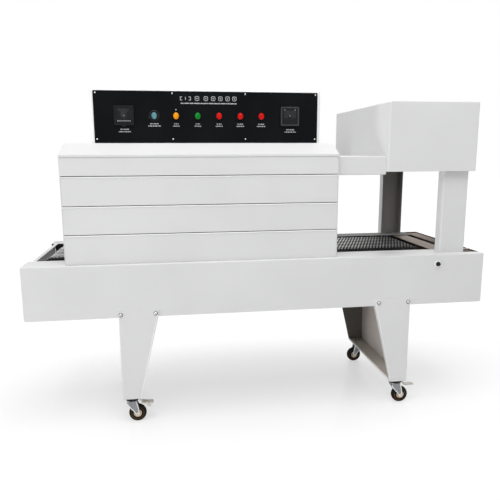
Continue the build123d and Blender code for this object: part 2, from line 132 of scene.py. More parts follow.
# %% [markdown]
# ## Floor
# The floor must fade into the white background and still keep the soft shadow that grounds the wheels.
# Near the machine a part of it is a lit surface that takes the shadow and the faint reflections, and
# the rest is plain white for the camera only, which grows with distance until no horizon shows.

# %% Pale floor that keeps the shadow
def shader_tree(name):
    """A new material, its node tree and its main shader."""
    material = bpy.data.materials.new(name)
    material.use_nodes = True
    shader = material.node_tree.nodes["Principled BSDF"]
    return material, material.node_tree, shader


floor_paper, tree, lit = shader_tree("floor paper")
lit.inputs["Base Color"].default_value = (0.93, 0.93, 0.93, 1.0)
lit.inputs["Roughness"].default_value = 0.22
lit.inputs["IOR"].default_value = 1.4
rays = tree.nodes.new("ShaderNodeLightPath")
white = tree.nodes.new("ShaderNodeEmission")
white.inputs["Strength"].default_value = 1.04
spot = tree.nodes.new("ShaderNodeTexCoord")
stretch = tree.nodes.new("ShaderNodeMapping")
stretch.inputs["Location"].default_value = (0.0, 0.05, 0.0)
stretch.inputs["Scale"].default_value = (0.35, 1.0, 1.0)
reach = tree.nodes.new("ShaderNodeVectorMath")
reach.operation = "LENGTH"
fade = tree.nodes.new("ShaderNodeMapRange")
fade.interpolation_type = "SMOOTHSTEP"
fade.inputs["From Min"].default_value = 0.2
fade.inputs["From Max"].default_value = 0.85
fade.inputs["To Min"].default_value = 0.46
fade.inputs["To Max"].default_value = 1.0
share = tree.nodes.new("ShaderNodeMath")
share.operation = "MULTIPLY"
blend_floor = tree.nodes.new("ShaderNodeMixShader")
tree.links.new(spot.outputs["Object"], stretch.inputs["Vector"])
tree.links.new(stretch.outputs["Vector"], reach.inputs[0])
tree.links.new(reach.outputs["Value"], fade.inputs["Value"])
tree.links.new(fade.outputs["Result"], share.inputs[1])
tree.links.new(rays.outputs["Is Camera Ray"], share.inputs[0])
tree.links.new(share.outputs[0], blend_floor.inputs[0])
tree.links.new(lit.outputs[0], blend_floor.inputs[1])
tree.links.new(white.outputs[0], blend_floor.inputs[2])
tree.links.new(blend_floor.outputs[0], tree.nodes["Material Output"].inputs[0])
print("floor paper:", len(tree.nodes), "nodes")

# %% Floor plane
floor_mesh = bpy.data.meshes.new("floor")
half = 20.0
floor_corners = [(-half, -half, 0), (half, -half, 0), (half, half, 0), (-half, half, 0)]
floor_mesh.from_pydata(floor_corners, [], [(0, 1, 2, 3)])
floor_mesh.materials.append(floor_paper)
floor = bpy.data.objects.new("floor", floor_mesh)
bpy.context.scene.collection.objects.link(floor)
print("floor", 2 * half, "m square")


# %% [markdown]
# ## Painted steel
# Powder coat is melted plastic dust: even in colour, satin, with a faint orange-peel ripple. A soft
# noise varies the white a little, a fine noise gives the ripple, and a Bevel node rounds what light
# does at sheet edges, where real paint pulls into a thin bright line.

# %% Nodes that every finish shares
def where(tree, stretch=(1.0, 1.0, 1.0)):
    """Object coordinates in metres, stretched for a grain that runs one way."""
    place = tree.nodes.new("ShaderNodeTexCoord")
    scale = tree.nodes.new("ShaderNodeMapping")
    scale.inputs["Scale"].default_value = stretch
    tree.links.new(place.outputs["Object"], scale.inputs["Vector"])
    return scale.outputs["Vector"]


def cloud(tree, vector, scale, detail=3.0):
    """A noise value from 0 to 1 at that many lumps a metre."""
    noise = tree.nodes.new("ShaderNodeTexNoise")
    noise.inputs["Scale"].default_value = scale
    noise.inputs["Detail"].default_value = detail
    tree.links.new(vector, noise.inputs["Vector"])
    return noise.outputs["Fac"]


def scaled(tree, value, start, stop, low, high):
    """A value that runs from start to stop, turned into one that runs from low to high."""
    ramp = tree.nodes.new("ShaderNodeMapRange")
    for port, number in (("From Min", start), ("From Max", stop), ("To Min", low), ("To Max", high)):
        ramp.inputs[port].default_value = number
    tree.links.new(value, ramp.inputs["Value"])
    return ramp.outputs["Result"]


def between(tree, noise, low, high):
    """The middle part of a noise, 0.3 to 0.7, turned into a value from low to high."""
    return scaled(tree, noise, 0.3, 0.7, low, high)


def blend_colour(tree, factor, dark, light):
    """A colour between two others."""
    mix = tree.nodes.new("ShaderNodeMix")
    mix.data_type = "RGBA"
    mix.inputs["A"].default_value = (*dark, 1.0)
    mix.inputs["B"].default_value = (*light, 1.0)
    tree.links.new(factor, mix.inputs["Factor"])
    return mix.outputs["Result"]


def ripple(tree, height, depth, shader, normal=None):
    """Bump of that depth in metres on a shader, over an edge-rounded normal where one is given."""
    bump = tree.nodes.new("ShaderNodeBump")
    bump.inputs["Strength"].default_value = 1.0
    bump.inputs["Distance"].default_value = depth
    tree.links.new(height, bump.inputs["Height"])
    if normal is not None:
        tree.links.new(normal, bump.inputs["Normal"])
    tree.links.new(bump.outputs["Normal"], shader.inputs["Normal"])

# %% [markdown]
# ## One way to write a finish
# Every finish here has two tones in patches, a range of roughness and a grain, so one function makes
# them all and only its numbers differ: lumps a metre for the patches and the grain, and millimetres for
# the grain's depth. The patches also drive the roughness, as wear does on a real surface.

# %% A finish from two tones and a grain
def finish(
    name, dark, light, patch, rough, grain, depth, metal=0.0, stretch=(1, 1, 1), edge=0.0, gleam=0.5
):
    """A surface: two tones in patches, a roughness range, and a grain of that depth in millimetres."""
    material, tree, shader = shader_tree(name)
    vector = where(tree, stretch)
    patches = cloud(tree, vector, patch)
    tone = blend_colour(tree, between(tree, patches, 0.0, 1.0), dark, light)
    tree.links.new(tone, shader.inputs["Base Color"])
    tree.links.new(between(tree, patches, *rough), shader.inputs["Roughness"])
    rounded = None
    if edge:
        bevel = tree.nodes.new("ShaderNodeBevel")
        bevel.samples = 4
        bevel.inputs["Radius"].default_value = edge * MM
        rounded = bevel.outputs["Normal"]
    ripple(tree, cloud(tree, vector, grain, 2.0), depth * MM, shader, rounded)
    shader.inputs["Metallic"].default_value = metal
    shader.inputs["Specular IOR Level"].default_value = gleam
    print("finish:", name)
    return material


# %% White coat outside, a brighter copy as painted light, black coat with painted shade on the pan
white_coat = finish(
    "white powder coat", (0.69, 0.69, 0.69), (0.725, 0.725, 0.725), 3.0, (0.34, 0.42), 700.0, 0.012,
    edge=1.2,
)
# A brighter copy of the white coat: painted light on the control box, the hems and the front post's left
# flange. It is also the white of the outlet collar.
white_and_painted_light = finish(
    "bright white and painted light", (0.87, 0.87, 0.87), (0.91, 0.91, 0.91), 3.0, (0.34, 0.42), 700.0, 0.012,
    edge=1.2,
)
# Black on the pan and the rollers; the pan's black also paints the shade in the gap between the cover and
# the belt.
black_and_painted_shade = finish(
    "black coat and painted shade", (0.01, 0.01, 0.011), (0.024, 0.023, 0.022), 30.0, (0.6, 0.75), 900.0, 0.02,
    gleam=0.08,
)


# %% [markdown]
# ## Metals, plastics and rubber
# Each metal is told apart by its grain: rolled sheet has long streaks, zinc plating small cloudy
# grains, and a polished nut almost none. Plastics have no grain but a sheen, and rubber is dull. The
# dark ones get little gleam, or the white studio that they mirror would turn them grey.

# %% Metals
roll_streaks = (14.0, 1.0, 1.0)
# Bare steel sheet whose brown tint is painted warm shade and reflection.
steel_and_warm_shade = finish(
    "rolled steel and painted warm shade", (0.2, 0.15, 0.12), (0.44, 0.36, 0.3), 5.0, (0.42, 0.6), 60.0, 0.02, 0.3,
    roll_streaks, gleam=0.2,
)
# Painted shade: dark brown that widens the dark slot at the outlet.
slot_painted_shade = finish(
    "slot edge painted shade", (0.055, 0.038, 0.03), (0.12, 0.085, 0.065), 5.0, (0.5, 0.65), 60.0, 0.02, 0.2,
    roll_streaks, gleam=0.15,
)
zinc = finish(
    "zinc plate", (0.2, 0.21, 0.23), (0.36, 0.37, 0.39), 160.0, (0.26, 0.42), 900.0, 0.01, 0.6, edge=0.5
)
# Near-white zinc for the fork beads and axle nuts: a painted highlight.
bead_painted_highlight = finish(
    "zinc bead painted highlight", (0.84, 0.84, 0.83), (0.94, 0.94, 0.93), 160.0, (0.2, 0.3), 900.0, 0.005, 0.2
)
nickel = finish(
    "nickel plate", (0.5, 0.49, 0.47), (0.68, 0.67, 0.65), 200.0, (0.16, 0.24), 900.0, 0.004, 1.0
)
# Dark oxide for washers and bolt heads; on the caster plates and ball races it also paints the shade under
# the foot plates.
black_oxide_and_shade = finish(
    "black oxide", (0.012, 0.012, 0.013), (0.03, 0.03, 0.03), 200.0, (0.45, 0.6), 900.0, 0.01, 0.2,
    gleam=0.15,
)

# %% Plastics and rubber
fascia_plastic = finish(
    "fascia film", (0.003, 0.0038, 0.0046), (0.006, 0.0072, 0.0084), 6.0, (0.4, 0.5), 1500.0, 0.004,
    gleam=0.05,
)
instrument_plastic = finish(
    "instrument face", (0.008, 0.01, 0.01), (0.016, 0.019, 0.019), 60.0, (0.35, 0.45), 1800.0, 0.004,
    gleam=0.12,
)
instrument_rim = finish(
    "instrument rim", (0.03, 0.034, 0.034), (0.055, 0.06, 0.06), 90.0, (0.35, 0.45), 1200.0, 0.004,
    gleam=0.2,
)
gloss_black = finish(
    "gloss black plastic", (0.004, 0.004, 0.005), (0.008, 0.008, 0.009), 80.0, (0.1, 0.18), 900.0, 0.002,
    gleam=0.2,
)
tyre_rubber = finish(
    "tyre rubber", (0.006, 0.0055, 0.005), (0.016, 0.014, 0.012), 120.0, (0.6, 0.78), 1400.0, 0.03,
    gleam=0.1,
)
band_rubber = finish(
    "brown tyre band", (0.02, 0.011, 0.007), (0.075, 0.038, 0.019), 40.0, (0.55, 0.7), 1200.0, 0.02,
    gleam=0.15,
)
hub_plastic = finish(
    "cream hub", (0.62, 0.47, 0.3), (0.8, 0.68, 0.5), 70.0, (0.34, 0.46), 1100.0, 0.008, gleam=0.35
)
pale_print = finish(
    "pale print", (0.36, 0.38, 0.39), (0.5, 0.52, 0.53), 300.0, (0.5, 0.6), 1500.0, 0.002, gleam=0.2
)


# %% Lamp lenses
def lens_finish(name, dark, light):
    """Dyed plastic: a gloss coat over a full colour in two tones in patches."""
    material = finish(name, dark, light, 90.0, (0.2, 0.3), 500.0, 0.01, gleam=0.1)
    shader = material.node_tree.nodes["Principled BSDF"]
    shader.inputs["Coat Weight"].default_value = 0.06
    shader.inputs["Coat Roughness"].default_value = 0.08
    return material


lens_clear = lens_finish("clear lens", (0.04, 0.14, 0.19), (0.17, 0.36, 0.42))
lens_amber = lens_finish("amber lens", (0.82, 0.24, 0.002), (0.98, 0.42, 0.006))
lens_green = lens_finish("green lens", (0.001, 0.15, 0.012), (0.002, 0.3, 0.03))
lens_red = lens_finish("red lens", (0.48, 0.003, 0.002), (0.75, 0.008, 0.004))


# %% [markdown]
# ## Belt wire
# New belt wire is grey. Where the belt leaves the hot tunnel it is bright, and towards the outlet it is
# darker, so this wire's colour runs along the machine. Painted highlights and shade in diagonal rows stand
# for the light on the slanted lay of the weave, and the front edge, which runs under the cover, is painted
# black as the cover's shadow.

# %% Places and sums inside a material
def places(tree):
    """The object's own X, Y and Z in metres, as outputs to link from."""
    place = tree.nodes.new("ShaderNodeTexCoord")
    split = tree.nodes.new("ShaderNodeSeparateXYZ")
    tree.links.new(place.outputs["Object"], split.inputs["Vector"])
    return split.outputs


def calculate(tree, operation, one, two=0.0):
    """A Math node on two inputs, each a number or the output of another node."""
    made = tree.nodes.new("ShaderNodeMath")
    made.operation = operation
    for port, value in enumerate((one, two)):
        if isinstance(value, float):
            made.inputs[port].default_value = value
        else:
            tree.links.new(value, made.inputs[port])
    return made.outputs[0]


def multiplied(tree, colour, operation, other, port):
    """A colour that is multiplied by another colour, or scaled by a number."""
    made = tree.nodes.new("ShaderNodeVectorMath")
    made.operation = operation
    tree.links.new(colour, made.inputs[0])
    tree.links.new(other, made.inputs[port])
    return made.outputs["Vector"]


# %% A colour that runs along the belt
full_turn = 2 * math.pi
# Diagonal waves of painted highlight and shade on the belt wire.
lay_waves = ((62.0, -26.5, 0.8), (0.0, 11.8, 0.3))
print("waves a metre along X and Y, and their weight:", lay_waves)


def belt_wire():
    """Steel wire that darkens towards the outlet, with painted highlights and shade in diagonal rows and a
    painted shadow at the front edge.
    """
    material = finish(
        "belt wire", (0.1, 0.1, 0.1), (0.2, 0.198, 0.195), 40.0, (0.4, 0.6), 700.0, 0.02, 0.5, gleam=0.3
    )
    tree = material.node_tree
    colour = tree.nodes["Principled BSDF"].inputs["Base Color"]
    fresh = colour.links[0].from_socket
    run, across = places(tree)["X"], places(tree)["Y"]
    waves = []
    for along_x, along_y, weight in lay_waves:
        turn_x = calculate(tree, "MULTIPLY", run, full_turn * along_x)
        turn_y = calculate(tree, "MULTIPLY", across, full_turn * along_y)
        wave = calculate(tree, "SINE", calculate(tree, "ADD", turn_x, turn_y))
        waves.append(calculate(tree, "MULTIPLY", wave, weight))
    # Painted highlights and shade along the weave's lay.
    lay = scaled(tree, calculate(tree, "ADD", *waves), -0.6, 0.9, 0.1, 2.5)
    # Brighter at the inlet end, darker towards the outlet.
    tone_along_run = scaled(tree, run, 0.25, 0.75, 4.8, 1.1)
    # Painted shadow of the cover on the belt's front edge.
    cover_shadow = scaled(tree, across, -0.137, -0.127, 0.03, 1.0)
    tone = calculate(tree, "MULTIPLY", calculate(tree, "MULTIPLY", tone_along_run, lay), cover_shadow)
    tree.links.new(multiplied(tree, fresh, "SCALE", tone, "Scale"), colour)
    return material


wire_steel = belt_wire()


# %% [markdown]
# ## A finish for every slot
# The frame already says which slot each node has, so one table swaps every plain slot for its finish.
# Three nodes differ from their slot: the control box has the brighter white, painted light, and the caster
# plates and the belt's rollers are dark; the caster plates' dark also paints the shade under the foot
# plates.

# %% Finishes on the nodes
finishes = {
    "white_paint": white_coat,
    "belt_mesh": wire_steel,
    "pan_black": black_and_painted_shade,
    "bare_steel": steel_and_warm_shade,
    "black_bolt": black_oxide_and_shade,
    "fascia_black": fascia_plastic,
    "instrument": instrument_plastic,
    "lamp_bezel": gloss_black,
    "lens_clear": lens_clear,
    "lens_amber": lens_amber,
    "lens_green": lens_green,
    "lens_red": lens_red,
    "tyre": tyre_rubber,
    "hub": hub_plastic,
    "zinc": zinc,
}
slot_of = {}
for name, node in nodes.items():
    slot_of[name] = node.data.materials[0].name
    node.data.materials[0] = finishes[slot_of[name]]
# The control box gets the brighter white: painted light.
nodes["control_box"].data.materials[0] = white_and_painted_light
# The caster plates are dark: partly a dark finish, partly painted shade under the foot plates.
nodes["caster_plates"].data.materials[0] = black_oxide_and_shade
nodes["belt_rollers"].data.materials[0] = black_and_painted_shade
print("finished nodes:", len(slot_of), "in", len(set(slot_of.values())), "finishes")


# %% [markdown]
# ## Insides of the folded sheets
# The inner faces of the legs and the rear post get a warm grey that is painted shade, darker into the
# corner. Each is one CAD solid, so its faces are sorted: a face that looks at the inside gets the second
# material.

# %% Painted shade on the inner faces
def painted_shade_coat(name, axis, dark_at, light_at, dark, light):
    """Painted shade that goes from dark to light between two places along an axis, in metres."""
    material = finish(name, (0.9, 0.9, 0.9), (1.0, 1.0, 1.0), 8.0, (0.5, 0.6), 600.0, 0.015, gleam=0.15)
    tree = material.node_tree
    colour = tree.nodes["Principled BSDF"].inputs["Base Color"]
    patches = colour.links[0].from_socket
    depth = scaled(tree, places(tree)[axis], dark_at, light_at, 0.0, 1.0)
    coat = blend_colour(tree, depth, dark, light)
    tree.links.new(multiplied(tree, coat, "MULTIPLY", patches, 1), colour)
    return material


leg_low, leg_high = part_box("leg_right")
# Painted shade inside the legs, darker towards the rear; darker still on the rear plate, and inside the
# rear post darker towards the top, under the hood.
leg_inside_shade = painted_shade_coat(
    "leg inside painted shade", "Y", leg_high.y - 0.01, leg_low.y + 0.15, (0.5, 0.45, 0.41), (0.86, 0.8, 0.75)
)
leg_rear_plate_shade = painted_shade_coat("leg rear plate painted shade", "Z", 0.2, 0.5, (0.15, 0.137, 0.123), (0.1, 0.092, 0.082))
post_inside_shade = painted_shade_coat("post inside painted shade", "Z", 1.0, 0.72, (0.2, 0.19, 0.175), (0.4, 0.38, 0.36))


# %% Sort the faces that look inwards
def coat_faces(name, material, looks_in):
    """Gives the faces of a node that a test picks another material."""
    mesh = nodes[name].data
    mesh.materials.append(material)
    picked = [face for face in mesh.polygons if looks_in(face.center, face.normal)]
    for face in picked:
        face.material_index = len(mesh.materials) - 1
    print(name, "faces in", material.name + ":", len(picked))


skin = 1.5 * MM
for name, inward in (("leg_left", 1), ("leg_right", -1)):
    low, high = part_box(name)
    edge = low.x if inward > 0 else high.x

    def in_web(centre, normal, low=low, high=high, edge=edge, inward=inward):
        inner_web = abs(centre.x - edge) > skin and normal.x * inward > 0.9 and low.y + 0.02 < centre.y
        return inner_web or normal.z > 0.9 and centre.z < low.z + 0.012

    def on_rear_plate(centre, normal, low=low, high=high):
        return high.y - 5 * MM < centre.y < high.y - skin and normal.y < -0.7

    def on_front_plate(centre, normal, low=low, high=high):
        return low.y + skin < centre.y < low.y + 0.03 and normal.y > 0.7

    # The inner web, the foot plate's top and the back of the front plate get painted shade; the rear plate
    # gets darker painted shade.
    coat_faces(name, leg_inside_shade, in_web)
    coat_faces(name, leg_rear_plate_shade, on_rear_plate)
    coat_faces(name, leg_inside_shade, on_front_plate)


# %% Faces of the posts, the ledge and the rear rail
def looks_up(centre, normal):
    """True for a face that looks up."""
    return normal.z > 0.9


def looks_forward(centre, normal):
    """True for a face that looks to the operator's side."""
    return normal.y < -0.9


def looks_left(centre, normal):
    """True for a face that looks to the inlet."""
    return normal.x < -0.9


low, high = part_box("post_rear")
# The inner faces of the rear post get painted shade.
coat_faces(
    "post_rear",
    post_inside_shade,
    lambda centre, normal: low.x + skin < centre.x < high.x - skin and centre.y < high.y - skin,
)
ledge_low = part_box("bed_end_right")[1].z - skin
# Painted warm shade on the ledge's upward faces, darker towards the front.
ledge_painted_shade = painted_shade_coat("ledge painted shade", "Y", -0.05, 0.22, (0.12, 0.085, 0.068), (0.34, 0.275, 0.235))
coat_faces("bed_end_right", ledge_painted_shade, lambda centre, normal: normal.z > 0.9 and centre.z < ledge_low)
# The ledge's faces that look to the inlet get painted shade.
coat_faces("bed_end_right", slot_painted_shade, looks_left)
# Painted shade on the rear rail's top, darker towards the outlet, under the hood.
rear_rail_shade = painted_shade_coat("rear rail painted shade", "X", 0.4, 0.2, (0.22, 0.22, 0.215), (0.7, 0.7, 0.7))
coat_faces("bed_cover_rear", rear_rail_shade, looks_up)
# The forward faces of the rear cover and the rear side are black: painted shade behind the belt.
coat_faces("bed_cover_rear", black_and_painted_shade, looks_forward)
coat_faces("bed_side_rear", black_and_painted_shade, looks_forward)
# The front post's left flange gets the brighter white: painted light on that side.
coat_faces("post_front", white_and_painted_light, looks_left)

# %% Head, collar and shaft of the outlet bolt
bolt_low, bolt_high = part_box("roller_journals")
head_back = bolt_low.y + 5.5 * MM
collar_back = bolt_low.y + 9 * MM
coat_faces("roller_journals", white_and_painted_light, lambda centre, normal: head_back < centre.y < collar_back)
coat_faces("roller_journals", black_oxide_and_shade, lambda centre, normal: centre.y < head_back)
coat_faces("roller_journals", black_oxide_and_shade, lambda centre, normal: centre.y > collar_back)


# %% [markdown]
# ## Bent wires and pieces
# Hems, belt wires and beads are all round bars that follow a line. A ring of points is set square to the
# line at each of its points, and faces join the rings. A set of like parts is collected in one mesh,
# which then becomes one object that rides on one body of the frame.

# %% Bent wires
def bent(bm, points, radius, sides=6, closed=False):
    """A wire of that radius, in metres, along points in metres."""
    count = len(points)
    angles = [2 * math.pi * k / sides for k in range(sides)]
    rings = []
    for i, point in enumerate(points):
        before = points[i - 1] if i or closed else point
        after = points[(i + 1) % count] if i < count - 1 or closed else point
        along = (after - before).normalized()
        side = along.cross(Vector((0.13, 0.27, 0.95))).normalized()
        up = side.cross(along)
        ring = [point + radius * (math.cos(a) * side + math.sin(a) * up) for a in angles]
        rings.append([bm.verts.new(spot) for spot in ring])
    pairs = list(zip(rings, rings[1:])) + ([(rings[-1], rings[0])] if closed else [])
    for one, two in pairs:
        for k in range(sides):
            m = (k + 1) % sides
            bm.faces.new((one[k], one[m], two[m], two[k]))
    if not closed:
        bm.faces.new(rings[0][::-1])
        bm.faces.new(rings[-1])


# %% Pieces that ride on a body
def place_piece(bm, name, body, materials, smooth=True):
    """Turns collected geometry into one object that rides on a body."""
    bmesh.ops.recalc_face_normals(bm, faces=bm.faces)
    mesh = bpy.data.meshes.new(name)
    bm.to_mesh(mesh)
    bm.free()
    for material in materials:
        mesh.materials.append(material)
    made = bpy.data.objects.new(name, mesh)
    bpy.context.scene.collection.objects.link(made)
    if smooth:
        mesh.shade_smooth()
        mesh.set_sharp_from_angle(angle=math.radians(35))
    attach(made, body)
    print(name, "faces:", len(mesh.polygons))
    return made


# %% [markdown]
# ## Hemmed edges
# Each tunnel panel, the belt cover and the open side of each leg end in a hem, where the sheet is folded
# on itself so that no sharp edge is left. The fold is round, and the brighter white on it paints a
# highlight along the edge.

# %% Hems along the panels and the front cover
hems = bmesh.new()
hem_radius = 2.4 * MM
for panel in range(1, 4):
    low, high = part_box(f"tunnel_front_panel_{panel}")
    z = high.z - hem_radius
    bent(hems, [Vector((low.x, low.y, z)), Vector((high.x, low.y, z))], hem_radius, sides=12)
low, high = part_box("bed_cover_front")
lip_z = high.z - hem_radius * 0.6
for start, stop in ((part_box("tunnel_end_right")[1].x, high.x), (low.x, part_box("tunnel_end_left")[0].x)):
    bent(hems, [Vector((start, high.y, lip_z)), Vector((stop, high.y, lip_z))], hem_radius, sides=12)
print("hem faces so far:", len(hems.faces))

# %% Hems along the legs
leg_hem_radius = 1.7 * MM
near = 0.2 * MM
fold_height = 6 * MM
for name, inward in (("leg_left", 1), ("leg_right", -1)):
    low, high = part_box(name)
    points = [vert.co.copy() for vert in nodes[name].data.vertices]
    front = [co for co in points if co.y < low.y + near]
    base = [co for co in points if co.z < low.z + near]
    top_edge = max((co for co in front if co.z > high.z - near), key=lambda co: co.x * inward)
    foot_edge = max((co for co in front if co.z < low.z + fold_height), key=lambda co: co.x * inward)
    base_front = min(base, key=lambda co: (round(co.y, 3), -co.x * inward))
    base_rear = max(base, key=lambda co: (round(co.y, 3), co.x * inward))
    inset = Vector((0, 0.8 * MM, 0))
    lift = Vector((0, 0, 1 * MM))
    bent(hems, [top_edge + inset, foot_edge + inset], leg_hem_radius, sides=10)
    bent(hems, [base_front + lift, base_rear + lift], leg_hem_radius, sides=10)
    print(name, "hems meet at", tuple(foot_edge))
# The hems get the brighter white: a painted highlight.
place_piece(hems, "hems", "machine", [white_and_painted_light])


# %% [markdown]
# ## Wire mesh belt
# A conveyor belt for a hot tunnel is woven: flat spirals of wire, left-handed and right-handed in turn,
# each hooked into the next by a straight cross rod. The loop is walked row by row round both rollers,
# and each row gets its rod and its spiral, so light falls through to the black pan as it does in life.

# %% Measure the loop from the CAD belt
belt_low, belt_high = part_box("belt")
belt_outer = (belt_high.z - belt_low.z) / 2
belt_thickness = 5.0 * MM
mid_radius = belt_outer - belt_thickness / 2
axis_z = (belt_low.z + belt_high.z) / 2
roller_left, roller_right = belt_low.x + belt_outer, belt_high.x - belt_outer
straight = roller_right - roller_left
half_turn = math.pi * mid_radius
loop_length = 2 * (straight + half_turn)
print("belt loop", round(loop_length, 3), "m,", round(belt_high.y - belt_low.y, 3), "m wide")


def on_loop(run, lift):
    """The point at a distance along the belt's middle line, lifted off it, as (x, z)."""
    run %= loop_length
    if run < straight:
        return roller_left + run, axis_z + mid_radius + lift
    if run < straight + half_turn:
        angle = (run - straight) / mid_radius
        reach = mid_radius + lift
        return roller_right + reach * math.sin(angle), axis_z + reach * math.cos(angle)
    if run < 2 * straight + half_turn:
        return roller_right - (run - straight - half_turn), axis_z - mid_radius - lift
    angle = math.pi + (run - 2 * straight - half_turn) / mid_radius
    reach = mid_radius + lift
    return roller_left + reach * math.sin(angle), axis_z + reach * math.cos(angle)


# %% Weave the spirals and rods
wire_radius = 1.1 * MM
rod_pitch = 14.0 * MM
row_count = round(loop_length / rod_pitch)
row_pitch = loop_length / row_count
coil_count = 26
coil_pitch = (belt_high.y - belt_low.y - 2 * wire_radius) / coil_count
rise = belt_thickness / 2 - wire_radius
hook = 0.6 * wire_radius

weave = bmesh.new()
for row in range(row_count):
    start, stop = row * row_pitch - hook, (row + 1) * row_pitch + hook
    coil_path = ((start, rise, 0.0), (stop, rise, 0.5), (stop, -rise, 0.5), (start, -rise, 1.0))
    left_handed = row % 2 == 0
    line = []
    for coil in range(coil_count):
        for run, lift, step in coil_path:
            across = (coil + step) * coil_pitch + wire_radius
            y = belt_low.y + across if left_handed else belt_high.y - across
            x, z = on_loop(run, lift)
            line.append(Vector((x, y, z)))
    bent(weave, line, wire_radius, sides=3)
belt_spirals = place_piece(weave, "belt_spirals", "machine", [wire_steel])
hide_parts("belt")

rods = bmesh.new()
for row in range(row_count):
    x, z = on_loop(row * row_pitch, 0.0)
    bent(rods, [Vector((x, belt_low.y, z)), Vector((x, belt_high.y, z))], wire_radius, sides=5)
place_piece(rods, "belt_rods", "machine", [wire_steel])


# %% [markdown]
# ## Turned parts
# Lenses, bezels, screws and wheels are turned. Their side view is a profile, and the profile spun round
# an axis in steps gives the whole form, which closes where the profile's radius is zero.

# %% Turned forms
def facing(place, direction):
    """A frame at a place whose own Z looks along a direction."""
    turn = Vector(direction).to_track_quat("Z", "Y").to_matrix().to_4x4()
    return Matrix.Translation(Vector(place)) @ turn


def turned(bm, profile, where_to, steps=32):
    """Spins a profile of (radius, height) points, in millimetres, round the Z of a frame."""
    rings = []
    for radius, height in profile:
        angles = [2 * math.pi * i / steps for i in range(steps if radius > 0 else 1)]
        ring = [Vector((radius * math.cos(a), radius * math.sin(a), height)) * MM for a in angles]
        rings.append([bm.verts.new(where_to @ spot) for spot in ring])
    made = []
    for one, two in zip(rings, rings[1:]):
        for i in range(steps):
            j = (i + 1) % steps
            corners = [one[i % len(one)], one[j % len(one)], two[j % len(two)], two[i % len(two)]]
            corners = list(dict.fromkeys(corners))
            if len(corners) > 2:
                made.append(bm.faces.new(corners))
    return made


# %% [markdown]
# ## Lamps
# A pilot lamp has a turned black bezel that clamps on the panel and a lens that snaps into it. The
# lens is a little taller than wide, so its spun profile is stretched. The first bezel is wider.

# %% Lenses
lens_width = 22.0
clear_low, clear_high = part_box("lamp_clear")
lens_height = (clear_high.z - clear_low.z) / MM
taller = Matrix.Diagonal((1.0, lens_height / lens_width, 1.0, 1.0))


def lamp_centres(name):
    """The middles of the lenses of a node, on the face of their bezels."""
    low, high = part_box(name)
    count = 3 if name == "lamps_red" else 1
    half = lens_width * MM / 2
    pitch = (high.x - low.x - 2 * half) / max(count - 1, 1)
    return [Vector((low.x + half + i * pitch, high.y, (low.z + high.z) / 2)) for i in range(count)]


lens_profile = [
    (11.0, 0.0), (11.0, 4.6), (10.5, 6.0), (9.4, 7.0), (8.6, 6.8), (6.4, 8.0), (3.4, 8.8), (0, 9.0)
]
lamps = {
    "lamp_clear": lens_clear,
    "lamp_amber": lens_amber,
    "lamp_green": lens_green,
    "lamps_red": lens_red,
}
for name, material in lamps.items():
    lenses = bmesh.new()
    for centre in lamp_centres(name):
        turned(lenses, lens_profile, facing(centre, (0, -1, 0)) @ taller, 40)
    made = place_piece(lenses, f"{name}_lens", "machine", [material])
    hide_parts(name)

# %% Bezels
bezels = bmesh.new()
bezel_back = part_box("lamp_bezels")[1].y
for name in lamps:
    for centre in lamp_centres(name):
        outer = 23.0 if name == "lamp_clear" else 14.5
        rim = [(outer, 0), (outer, 2.2), (outer - 1.0, 3.4), (outer - 2.0, 4.0)]
        bore = [(13.9, 4.0), (13.7, 3.0), (10.0, 3.0)]
        turned(bezels, rim + bore, facing((centre.x, bezel_back, centre.z), (0, -1, 0)), 48)
made = place_piece(bezels, "bezel_rings", "machine", [gloss_black])
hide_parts("lamp_bezels")


# %% [markdown]
# ## Fascia
# The black fascia is a thin sheet held by eight small pan-head screws. It carries plain marks only:
# two lines of short strokes where a lamp or an instrument is named, and a row of small framed dots.

# %% Screws on the fascia
fascia_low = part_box("control_fascia")[0]


def on_fascia(x, z, lift=0.0):
    """A frame on the fascia's face, from its lower left corner in millimetres, looking outwards."""
    spot = Vector((fascia_low.x + x * MM, fascia_low.y - lift * MM, fascia_low.z + z * MM))
    return facing(spot, (0, -1, 0))


screws = bmesh.new()
screw_head = [(3.4, 0), (3.3, 0.9), (2.6, 1.7), (1.3, 2.1), (1.2, 1.2), (0, 1.2)]
for x in (9.5, 314.0, 614.0, 913.5):
    for z in (16.0, 198.0):
        turned(screws, screw_head, on_fascia(x, z), 20)
place_piece(screws, "fascia_screws", "machine", [nickel])

# %% [markdown]
# ## Cut parts
# What a press or a saw makes has one outline and one thickness. The outline is copied to that depth
# along an axis, and a band of faces joins both copies. A print stroke is made so too, but very thin.

# %% Cut forms and their round corners
def cut(bm, outline, depth, where_to):
    """Pushes an outline of (x, y) points, in millimetres, along the Z of a frame."""
    back = [bm.verts.new(where_to @ (Vector((x, y, 0.0)) * MM)) for x, y in outline]
    face = [bm.verts.new(where_to @ (Vector((x, y, depth)) * MM)) for x, y in outline]
    made = [bm.faces.new(face), bm.faces.new(back[::-1])]
    for i in range(len(outline)):
        j = (i + 1) % len(outline)
        made.append(bm.faces.new((back[i], back[j], face[j], face[i])))
    return made


def arc(x, y, radius, degrees):
    """Points of an outline on a circle round (x, y), at those angles."""
    turns = [math.radians(a) for a in degrees]
    return [(x + radius * math.cos(a), y + radius * math.sin(a)) for a in turns]


def rounded_box(width, height, radius, steps=4):
    """The outline of a rectangle with round corners, centred on zero."""
    outline = []
    for quarter, (sx, sy) in enumerate(((1, 1), (-1, 1), (-1, -1), (1, -1))):
        degrees = [90 * (quarter + step / steps) for step in range(steps + 1)]
        outline += arc(sx * (width / 2 - radius), sy * (height / 2 - radius), radius, degrees)
    return outline


# %% Plain strokes in lines
print_height = 0.15


